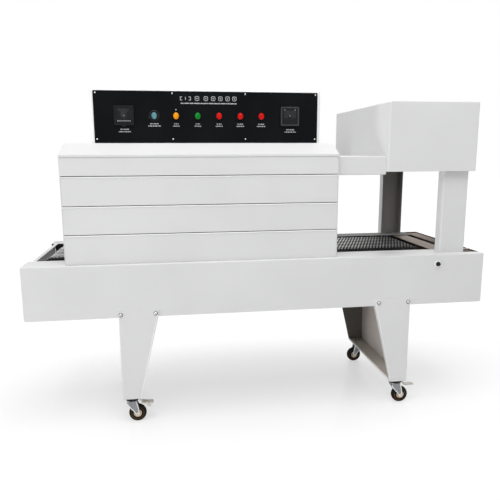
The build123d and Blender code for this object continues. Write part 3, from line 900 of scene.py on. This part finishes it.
def stroke(bm, x, z, width, height, lift=0.0):
    """One short printed stroke."""
    outline = rounded_box(width, height, min(width, height) * 0.3, 2)
    cut(bm, outline, print_height, on_fascia(x, z, lift))


def stroke_line(bm, x, z, length, height, pattern):
    """A line of strokes whose widths follow a pattern, centred on x."""
    gap = 1.6
    unit = (length - gap * (len(pattern) - 1)) / sum(pattern)
    start = x - length / 2
    for share in pattern:
        stroke(bm, start + share * unit / 2, z, share * unit, height)
        start += share * unit + gap


marks = bmesh.new()
first_lamp_x = 239.5
lamp_pitch = 88.3
label_lengths = ((34.0, 50.0), (18.0, 26.0), (18.0, 27.0), (20.0, 29.0), (24.0, 32.0), (26.0, 36.0))
for i, (upper, lower) in enumerate(label_lengths):
    x = first_lamp_x + lamp_pitch * i
    stroke_line(marks, x, 77.5, upper, 4.0, (2, 1, 3, 2))
    stroke_line(marks, x, 68.5, lower, 4.4, (1, 3, 2, 3, 1, 2))
for x in (120.0, 806.0):
    stroke_line(marks, x, 55.0, 34.0, 4.4, (2, 1, 2, 3))
    stroke_line(marks, x, 45.5, 48.0, 4.0, (1, 3, 2, 1, 3, 2, 2))
stroke_line(marks, 463.0, 159.5, 230.0, 4.2, (2, 0.5, 4, 3, 5, 2, 3, 1, 4, 3, 2, 4, 1, 2, 3, 2))
print("strokes so far:", len(marks.faces))

# %% Framed dots
sign_z = 178.8
for x in (414.7, 450.8, 481.2, 510.9, 540.7, 569.0):
    outline = rounded_box(15.0, 16.0, 4.0, 4)
    edge = [on_fascia(x, sign_z) @ (Vector((u, v, 0.0)) * MM) for u, v in outline]
    bent(marks, edge, 1.4 * MM, sides=5, closed=True)
    stroke(marks, x, sign_z, 6.0, 4.5)
for x, reach in ((347.0, 1), (388.0, -1)):
    stroke(marks, x, sign_z, 2.8, 15.0)
    for z in (sign_z - 6.2, sign_z + 6.2):
        stroke(marks, x + reach * 4.0, z, 7.0, 2.8)
stroke(marks, 367.5, sign_z, 2.8, 12.0)
stroke(marks, first_lamp_x + lamp_pitch, 134.0, 5.0, 5.0)
place_piece(marks, "fascia_marks", "machine", [pale_print], smooth=False)


# %% [markdown]
# ## Panel instruments
# The two square instruments differ. The left one has a paler rim, a sloped window whose lighter tone is a
# painted highlight, a dial with a small centre and a scale above its round tab, the right one a plain
# window with two screws and a dark band.
# Window, dial and band are thin plates laid in the sunk face.

# %% Rims of the instruments
light_rim = finish(
    "light instrument rim", (0.07, 0.078, 0.078), (0.13, 0.14, 0.14), 90.0, (0.35, 0.45), 1200.0, 0.004,
    gleam=0.2,
)
# Lighter plates in the instrument faces; on the left one, the sloped plate paints a highlight.
window_and_highlight = finish(
    "instrument window and painted highlight", (0.016, 0.02, 0.019), (0.03, 0.035, 0.034), 60.0, (0.3, 0.4), 1200.0, 0.004,
    gleam=0.15,
)
for name, rim in (("controller_left", light_rim), ("controller_right", instrument_rim)):
    rim_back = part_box(name)[0].y + 0.4 * MM
    coat_faces(name, rim, lambda centre, normal: looks_forward(centre, normal) and centre.y < rim_back)

# %% Windows, dials and bands
rim_lift = (fascia_low.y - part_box("controller_right")[0].y) / MM
face_lift = rim_lift - 2.0
instrument_z = 110.0
left_x, right_x = 119.0, 803.0

windows = bmesh.new()
sloped_highlight = [(-24, 27), (24, 27), (13, 8), (-13, 8)]
dial = [(13, 0), (13, 0.9), (11.5, 1.4), (0, 1.4)]
knob = [(9, 0.6), (9, 1.4), (8, 1.8), (0, 1.8)]
cut(windows, sloped_highlight, 0.5, on_fascia(left_x, instrument_z, face_lift))
turned(windows, dial, on_fascia(left_x, instrument_z - 1, face_lift), 36)
cut(windows, rounded_box(52, 30, 3), 0.6, on_fascia(right_x, instrument_z + 9, face_lift))
turned(windows, knob, on_fascia(right_x, instrument_z + 2, face_lift), 36)
place_piece(windows, "instrument_windows", "machine", [window_and_highlight])

bands = bmesh.new()
cut(bands, rounded_box(60, 17, 2), 0.8, on_fascia(right_x, instrument_z - 23, face_lift))
cut(bands, rounded_box(58, 9, 2), 0.5, on_fascia(left_x, instrument_z - 22, face_lift))
round_tab = arc(0, 0, 10, range(0, 360, 15))
cut(bands, round_tab, 0.3, on_fascia(left_x, instrument_z - 36, rim_lift + 2.0))
place_piece(bands, "instrument_bands", "machine", [gloss_black])

# %% Small screws and the scale
points = bmesh.new()
small_head = [(2.4, 0), (2.2, 0.8), (0, 1.1)]
for x in (right_x - 22, right_x + 22):
    turned(points, small_head, on_fascia(x, instrument_z + 26, face_lift), 16)
for x, rise_z, lift in ((left_x, -1, 1.4), (right_x, 2, 1.8)):
    turned(points, small_head, on_fascia(x, instrument_z + rise_z, face_lift + lift), 16)
place_piece(points, "instrument_points", "machine", [zinc])

scale = bmesh.new()
for i in range(9):
    height = 3.2 if i % 2 else 5.0
    stroke(scale, left_x - 24 + 6 * i, instrument_z - 22, 3.0, height, face_lift + 0.5)
place_piece(scale, "instrument_scale", "machine", [pale_print], smooth=False)


# %% [markdown]
# ## Wheels
# A caster wheel is a moulded cream hub with a rubber tyre pressed on. The CAD rings give the true
# radii; the scene's tyre has a rounded tread and a brown band in its side, and the hub is dished.
# Both are alike on their two sides, so half a profile is written and mirrored.

# %% Tyres and hubs that ride on their wheels
tyre_half = [
    (17.5, -12.8), (22.5, -12.9), (24.0, -12.5), (29.5, -12.2), (31.0, -12.4), (34.6, -10.8),
    (36.7, -7.5), (37.5, -3.5),
]
hub_half = [
    (17.5, -12.6), (16.8, -13.6), (14.8, -13.4), (13.6, -11.0), (10.5, -10.6), (9.4, -13.8),
    (8.4, -14.5), (5.1, -14.5),
]
band_inner, band_outer = 24.0, 29.8
casters = ("front_left", "front_right", "rear_left", "rear_right")


def ring_profile(half):
    """The closed profile of a ring from the profile of its one side."""
    return half + [(radius, -height) for radius, height in half[::-1]] + half[:1]


for corner in casters:
    low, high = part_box(f"caster_{corner}_tyre")
    axle = facing((low + high) / 2, (0, -1, 0))
    tyre = bmesh.new()
    for face in turned(tyre, ring_profile(tyre_half), axle, 64):
        reach = (axle.inverted() @ face.calc_center_median()).to_2d().length / MM
        face.material_index = 1 if band_inner < reach < band_outer else 0
    made = place_piece(tyre, f"tyre_{corner}", f"wheel_{corner}", [tyre_rubber, band_rubber])
    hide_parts(f"caster_{corner}_tyre")
    hub = bmesh.new()
    turned(hub, ring_profile(hub_half), axle, 48)
    made = place_piece(hub, f"hub_{corner}", f"wheel_{corner}", [hub_plastic])
    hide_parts(f"caster_{corner}_hub")


# %% [markdown]
# ## Forks
# A caster fork is pressed from one sheet: a round head with a ball race, and two cheeks that rake back
# to the axle. The press leaves a raised bead along each cheek's edge, which stiffens it; bead and axle nut
# are near white, a painted highlight.
# Each cheek is an outline pushed to its thickness with a wire run along its edge as the bead.

# %% Outlines of a cheek and a nut
cheek_inner = 16.0
cheek_sheet = 2.6
bead = 2.3
trail = 21.0
axle_height = 37.5


def fork_outline(side):
    """The side view of a cheek, from the swivel axis at floor level, in millimetres."""
    end = arc(trail, axle_height, 7.0, range(20, -181, -20))
    shape = [(-24.0, 97.0), (17.0, 97.0), (18.5, 88.0), (24.0, 66.0)] + end
    shape += [(6.0, 51.0), (-6.0, 63.0), (-16.0, 77.0), (-22.5, 88.0)]
    return [(side * x, z) for x, z in shape]


def hexagon(across_flats):
    """The outline of a nut."""
    return arc(0, 0, across_flats / math.sqrt(3), range(0, 360, 60))


def caster_axes(corner):
    """The middle of a wheel, the floor under its swivel axis, and the side that it trails to."""
    low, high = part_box(f"caster_{corner}_tyre")
    wheel = (low + high) / 2
    side = 1 if corner.startswith("front") else -1
    return wheel, Vector((wheel.x - side * trail * MM, wheel.y, 0.0)), side


print("nut outline:", len(hexagon(11.0)), "points, cheek outline:", len(fork_outline(1)), "points")

# %% Pressed forks that ride on their swivels
for corner in casters:
    wheel, swivel, side = caster_axes(corner)
    fork = bmesh.new()
    for reach, out in ((-cheek_inner, -1), (cheek_inner, 1)):
        plane = facing(swivel + Vector((0, reach * MM, 0)), (0, out, 0))
        flip = 1 if out < 0 else -1
        outline = [(flip * x, z) for x, z in fork_outline(side)]
        cut(fork, outline, cheek_sheet, plane)
        edge = [plane @ (Vector((x, z, cheek_sheet)) * MM) for x, z in outline]
        before = len(fork.faces)
        # The bead and the axle nut get the near-white zinc: a painted highlight.
        bent(fork, edge, bead * MM, sides=6, closed=True)
        fork.faces.ensure_lookup_table()
        for face in fork.faces[before:]:
            face.material_index = 1
        axle = facing(Vector((wheel.x, wheel.y + reach * MM, wheel.z)), (0, out, 0))
        lifted = axle @ Matrix.Translation((0, 0, cheek_sheet * MM))
        for face in cut(fork, hexagon(11.0), 4.6, lifted):
            face.material_index = 1
        turned(fork, [(3.0, 4.6), (2.6, 5.4), (0, 5.6)], lifted, 16)
    shaft = facing(Vector((wheel.x, wheel.y - cheek_inner * MM, wheel.z)), (0, 1, 0))
    turned(fork, [(0, 0), (5.0, 0), (5.0, 2 * cheek_inner), (0, 2 * cheek_inner)], shaft, 20)
    head = [(0, 91.0), (21, 91.0), (24, 92.0), (25, 94.5), (25, 98.0), (0, 98.0)]
    turned(fork, head, Matrix.Translation(swivel), 48)
    made = place_piece(fork, f"fork_{corner}", f"swivel_{corner}", [zinc, bead_painted_highlight])
    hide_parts(f"caster_{corner}_fork")
    # The ball race is dark: partly a dark finish, partly painted shade under the foot plate.
    race = bmesh.new()
    ring = [(0, 98.0), (26.0, 98.0), (28.0, 100.0), (28.0, 109.0), (26.0, 110.7), (0, 110.7)]
    turned(race, ring, Matrix.Translation(swivel), 40)
    place_piece(race, f"race_{corner}", f"swivel_{corner}", [black_oxide_and_shade])


# %% [markdown]
# ## Brake levers
# The two front casters have brake levers of bent sheet. The left one is a folded wedge, the right one a
# straight bar with a round end. Both are drawn in side view and pushed to their width.

# %% Wedge lever on the left caster
lever_steel = finish(
    "lever steel", (0.5, 0.48, 0.42), (0.74, 0.72, 0.65), 90.0, (0.3, 0.4), 900.0, 0.006, 0.4, edge=0.6
)


def lever_plane(corner, shift):
    """A side view of a caster, with x from the swivel axis, z from the floor, moved off its middle."""
    swivel = caster_axes(corner)[1]
    return facing(swivel, (0, -1, 0)) @ Matrix.Translation((0, 0, shift * MM))


wedge_width = 24.0
wedge = bmesh.new()
top_fold = [
    (24, 103.0), (32, 103.0), (42, 88.5), (88, 86.0), (89, 83.5), (41, 85.5), (30, 100.0), (24, 100.0)
]
end_fold = [(88, 85.5), (72, 65.5), (74.5, 64.5), (90.5, 84.0)]
flank = [(40, 87.0), (88, 85.0), (73, 66.0), (69, 66.0), (48, 79.0), (40, 83.0)]
cut(wedge, top_fold, wedge_width, lever_plane("front_left", -wedge_width / 2))
for shift in (-12.0, 10.0):
    cut(wedge, flank, 2.0, lever_plane("front_left", shift))
cut(wedge, end_fold, wedge_width, lever_plane("front_left", -wedge_width / 2))
made = place_piece(wedge, "lever_front_left", "swivel_front_left", [lever_steel])
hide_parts("caster_front_left_pedal")

# %% Bar lever on the right caster
bar_width = 14.0
lever = bmesh.new()
tip = arc(84, 83, 4.5, range(-90, 91, 20))
bar = [(24, 100.0), (29, 100.0), (40, 81.0), (50, 78.5)] + tip
bar += [(50, 87.5), (43, 88.0), (33, 103.0), (24, 103.0)]
cut(lever, bar, bar_width, lever_plane("front_right", -bar_width / 2))
made = place_piece(lever, "lever_front_right", "swivel_front_right", [lever_steel])
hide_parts("caster_front_right_pedal")


# %% [markdown]
# ## Bolts
# Domed bright bolts on dark washers hold each leg to the bed, and a nut holds each caster above its
# foot plate. The shaft of the outlet roller ends in a dark bolt head on a white collar.

# %% Leg bolts
bolts = bmesh.new()
washers = bmesh.new()
dome = [(7.2, 1.0), (7.2, 1.8), (6.4, 3.4), (4.6, 4.7), (2.3, 5.4), (0, 5.6)]
front_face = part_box("leg_left")[0].y
leg_bolt_places = ((-614.8, 490.0), (-470.8, 491.7), (511.0, 491.5), (648.0, 491.5))
for x, z in leg_bolt_places:
    spot = facing((x * MM, front_face, z * MM), (0, -1, 0))
    turned(washers, [(8.6, 0), (8.6, 1.0), (0, 1.0)], spot, 28)
    turned(bolts, dome, spot, 28)
outlet = facing((roller_right, bolt_low.y, (bolt_low.z + bolt_high.z) / 2), (0, -1, 0))
cut(washers, hexagon(17.0), 1.5, outlet)
place_piece(bolts, "leg_bolts", "machine", [nickel])
place_piece(washers, "leg_washers", "machine", [black_oxide_and_shade])

# %% Collar at the outlet and nuts on the casters
collar = bmesh.new()
turned(collar, [(13.0, -7.0), (13.0, -5.6), (12.2, -5.0), (0, -5.0)], outlet, 36)
place_piece(collar, "outlet_collar", "machine", [white_and_painted_light])

nuts = bmesh.new()
foot_top = 117.0
for corner in casters:
    spot = Matrix.Translation(caster_axes(corner)[1] + Vector((0, 0, foot_top * MM)))
    turned(nuts, [(11.0, 0), (11.0, 1.6), (0, 1.6)], spot, 28)
    cut(nuts, hexagon(15.0), 8.0, spot)
    turned(nuts, [(4.6, 8.0), (4.6, 12.0), (0, 12.6)], spot, 20)
place_piece(nuts, "caster_nuts", "machine", [zinc], smooth=False)
